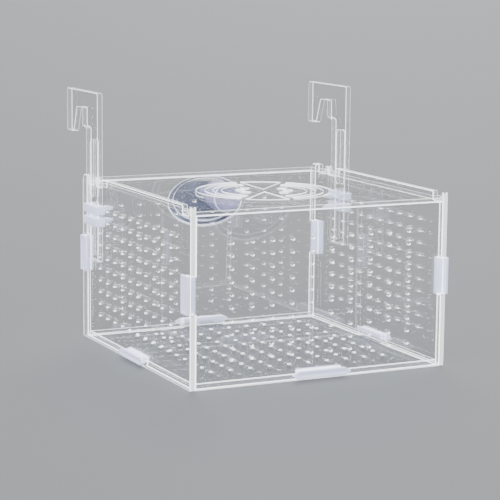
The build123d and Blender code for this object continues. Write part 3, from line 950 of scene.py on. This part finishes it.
# ---------------------------------------------------------------- plug and suction cup
def plug():
    """A plug through the back sheet: knob inside, neck, collar outside and a stem with a ball."""
    inner, outer = INNER_Y - SEAM, HALF_DEPTH + SEAM
    front = PLUG_LOW.y
    knob = KNOB_RADIUS
    rings = [
        (knob - 3 * KNOB_ROUND, front + KNOB_DISH),
        (knob - 2.4 * KNOB_ROUND, front + 0.1 * KNOB_DISH),
        (knob - 2 * KNOB_ROUND, front),
    ]
    rings += arc_rings((knob - KNOB_ROUND, front), (knob, front + KNOB_ROUND), KNOB_ROUND, 1, 5)
    rings += [
        (knob, inner - BEVEL_HEIGHT),
        (knob - BEVEL_WIDTH, inner),
        (PLUG_NECK / 2, inner + SEAM / 2),
        (PLUG_NECK / 2, outer - SEAM / 2),
        (COLLAR_RADIUS - BEVEL_WIDTH, outer),
        (COLLAR_RADIUS, outer + BEVEL_HEIGHT),
    ]
    top = HALF_DEPTH + COLLAR_LENGTH
    rings += arc_rings((COLLAR_RADIUS, top - KNOB_ROUND), (COLLAR_RADIUS - KNOB_ROUND, top), KNOB_ROUND, 1, 4)
    rings += [(STEM_FOOT_RADIUS, top + SEAM / 2), (STEM_RADIUS, top + STEM_FOOT)]
    start = asin(STEM_RADIUS / BALL_RADIUS) - pi / 2
    for step in range(BALL_STEPS + 1):
        angle = start + (pi / 2 - POLE - start) * step / BALL_STEPS
        rings.append((BALL_RADIUS * cos(angle), BALL.y + BALL_RADIUS * sin(angle)))
    piece = turned("soft_plug", rings, PLUG_SIDES)
    piece.matrix_world = Matrix.Translation(PLUG) @ Matrix.Rotation(-pi / 2, 4, "X")
    settle(piece)
    finish_soft(piece, PLUG_SILICONE, "cup_plug", "box")
    # painted highlight ring on the knob's rounded front corner
    piece.data.materials.append(RIM_HIGHLIGHT)
    for face in piece.data.polygons:
        reach = Vector((face.center.x - PLUG.x, face.center.z - PLUG.z)).length
        if knob - 0.5 * KNOB_ROUND < reach < knob - 0.1 * KNOB_ROUND and face.center.y < front + KNOB_ROUND:
            face.material_index = 1


def suction_cup():
    """The cup, turned about its own axis: socket, nub, bell with a raised step, lip and mouth."""
    mouth_middle = CUP_DEPTH - CUP_HOLLOW
    rings = []
    for step in range(SOCKET_STEPS + 1):
        angle = pi / 2 - POLE - (pi / 2 - POLE - SOCKET_EDGE) * step / SOCKET_STEPS
        rings.append((SOCKET_RADIUS * cos(angle), SOCKET_RADIUS * sin(angle)))
    nub_foot = SOCKET_RADIUS * sin(SOCKET_EDGE)
    rings += [
        (NUB_RADIUS - NUB_BEVEL, nub_foot),
        (NUB_RADIUS, nub_foot + NUB_BEVEL_HEIGHT),
        (NUB_RADIUS, mouth_middle - CUP_WALL - NUB_BEVEL),
    ]
    bell_run = CUP_RADIUS - NUB_RADIUS

    def bell(share, wall, lip):
        """A ring of the bell, this far from the nub to the rim."""
        return (NUB_RADIUS + share * bell_run, mouth_middle - wall + (CUP_HOLLOW + wall - lip) * share**2)

    step_share = (CUP_STEP_RADIUS - NUB_RADIUS) / bell_run
    rings += [bell(max(step / BELL_STEPS, BELL_START) * step_share, CUP_WALL, CUP_LIP) for step in range(BELL_STEPS)]
    edge_r, edge_h = bell(step_share, CUP_WALL, CUP_LIP)
    rings += [
        (edge_r - 0.1 * CUP_STEP, edge_h),
        (edge_r + 0.4 * CUP_STEP, edge_h + 0.2 * CUP_STEP),
        (edge_r + 0.7 * CUP_STEP, edge_h + 0.9 * CUP_STEP),
        (edge_r + CUP_STEP, edge_h + 1.24 * CUP_STEP),
        bell(1 - CUP_RIM / bell_run, CUP_WALL, CUP_LIP),
        (CUP_RADIUS - CUP_LIP_ROUND, CUP_DEPTH - CUP_LIP),
        (CUP_RADIUS, CUP_DEPTH - 0.7 * CUP_LIP),
        (CUP_RADIUS, CUP_DEPTH - 0.25 * CUP_LIP),
        (CUP_RADIUS - 0.8 * CUP_LIP_ROUND, CUP_DEPTH),
    ]
    rings += [bell(1 - step / MOUTH_STEPS, 0, 0) for step in range(1, MOUTH_STEPS + 1)]
    rings += [(NUB_RADIUS / 2, mouth_middle), (NUB_RADIUS / 8, mouth_middle)]
    piece = turned("soft_cup", rings, CUP_SIDES)
    droop_way = Vector((sin(CUP_SWING) * cos(CUP_DROOP), cos(CUP_SWING) * cos(CUP_DROOP), -sin(CUP_DROOP)))
    piece.matrix_world = Matrix.Translation(BALL) @ droop_way.to_track_quat("Z", "Y").to_matrix().to_4x4()
    settle(piece)
    finish_soft(piece, VINYL, "suction_cup", "cup")
    # painted highlight lines on the rim, the raised step and the nub's bevel
    piece.data.materials.append(RIM_HIGHLIGHT)
    for face in piece.data.polygons:
        off = face.center - BALL
        height = off.dot(droop_way)
        reach = (off - height * droop_way).length
        on_step = edge_r < reach < edge_r + CUP_STEP and height < mouth_middle + CUP_HOLLOW / 2
        on_nub = NUB_RADIUS - NUB_BEVEL < reach < NUB_RADIUS + NEAR and height < nub_foot + NUB_BEVEL
        if reach > CUP_RADIUS - CUP_RIM or on_step or on_nub:
            face.material_index = 1


wall("front_sheet", "front_panel", FRONT_LOW, FRONT_HIGH)
wall("back_sheet", "back_panel", BACK_LOW, BACK_HIGH)
side_sheet("left_sheet", "left_panel", -1)
side_sheet("right_sheet", "right_panel", 1)
bottom_sheet()
lid_sheet()
hook("left_rim_hook", "hook_left", "left_hook")
hook("right_rim_hook", "hook_right", "right_hook")
soft_keys()
for side_name, side in (("left", -1), ("right", 1)):
    for row_name in ("upper", "lower"):
        band(f"band_{side_name}_{row_name}", side)
plug()
suction_cup()


# ---------------------------------------------------------------- floor, light and camera
def floor():
    """A wide plain floor, pale grey with a soft sheen."""
    bpy.ops.object.select_all(action="DESELECT")
    place = (0, 0, -FLOOR_DROP)
    bpy.ops.mesh.primitive_circle_add(vertices=FLOOR_SIDES, radius=FLOOR_RADIUS, fill_type="NGON", location=place)
    piece = bpy.context.object
    piece.name = "floor"
    material, tree, shader = blank_material("floor_grey", (0.135, 0.14, 0.148))
    shader.inputs["Roughness"].default_value = 0.7
    shader.inputs["Specular IOR Level"].default_value = 0.3
    tone = object_noise(tree, 3, 2)
    tree.links.new(blend_colours(tree, tone, (0.13, 0.135, 0.143), (0.14, 0.145, 0.153)), shader.inputs["Base Color"])
    piece.data.materials.append(material)


def soft_light(name, azimuth, elevation, width, power):
    """Light from far away, as wide as a soft box: even over the whole floor, with soft shadows."""
    lamp = bpy.data.lights.new(name, "SUN")
    lamp.angle = width
    lamp.energy = power
    box = bpy.data.objects.new(name, lamp)
    bpy.context.scene.collection.objects.link(box)
    off = Vector((sin(azimuth) * cos(elevation), -cos(azimuth) * cos(elevation), sin(elevation)))
    box.location = off
    box.rotation_mode = "QUATERNION"
    box.rotation_quaternion = off.to_track_quat("Z", "Y")


def sky():
    """An even surround, brighter overhead than at the level of the floor."""
    world = bpy.data.worlds.new("surround")
    bpy.context.scene.world = world
    world.use_nodes = True
    tree = world.node_tree
    background = tree.nodes["Background"]
    place = tree.nodes.new("ShaderNodeTexCoord")
    split = tree.nodes.new("ShaderNodeSeparateXYZ")
    tree.links.new(place.outputs["Generated"], split.inputs["Vector"])
    height = spread(tree, split.outputs["Z"], -0.1, 0.9, 0, 1)
    tone = blend_colours(tree, height, (0.28, 0.29, 0.31), (1.0, 1.0, 1.0))
    tree.links.new(tone, background.inputs["Color"])
    background.inputs["Strength"].default_value = 1.0


def camera():
    """The photograph's view."""
    azimuth, elevation = CAMERA_AZIMUTH, CAMERA_ELEVATION
    back = Vector((sin(azimuth) * cos(elevation), -cos(azimuth) * cos(elevation), sin(elevation)))
    right = (-back).cross(Vector((0, 0, 1))).normalized()
    up = right.cross(-back)
    rolled_right = cos(CAMERA_ROLL) * right + sin(CAMERA_ROLL) * up
    rolled_up = -sin(CAMERA_ROLL) * right + cos(CAMERA_ROLL) * up
    place = Vector((0, 0, SIGHT_HEIGHT)) + back * CAMERA_DISTANCE
    place += rolled_right * CAMERA_ASIDE + rolled_up * CAMERA_LIFT
    data = bpy.data.cameras.new("camera")
    data.sensor_width = SENSOR
    data.lens = FOCAL_PIXELS / IMAGE_SIDE * SENSOR
    data.clip_start = CLIP_START
    data.clip_end = CLIP_END
    piece = bpy.data.objects.new("camera", data)
    bpy.context.scene.collection.objects.link(piece)
    turn = Matrix((rolled_right, rolled_up, back)).transposed().to_4x4()
    piece.matrix_world = Matrix.Translation(place) @ turn
    bpy.context.scene.camera = piece


floor()
sky()
soft_light("key", azimuth=radians(-48), elevation=radians(48), width=radians(40), power=4.2)
soft_light("rim", azimuth=radians(150), elevation=radians(38), width=radians(35), power=2.8)
camera()
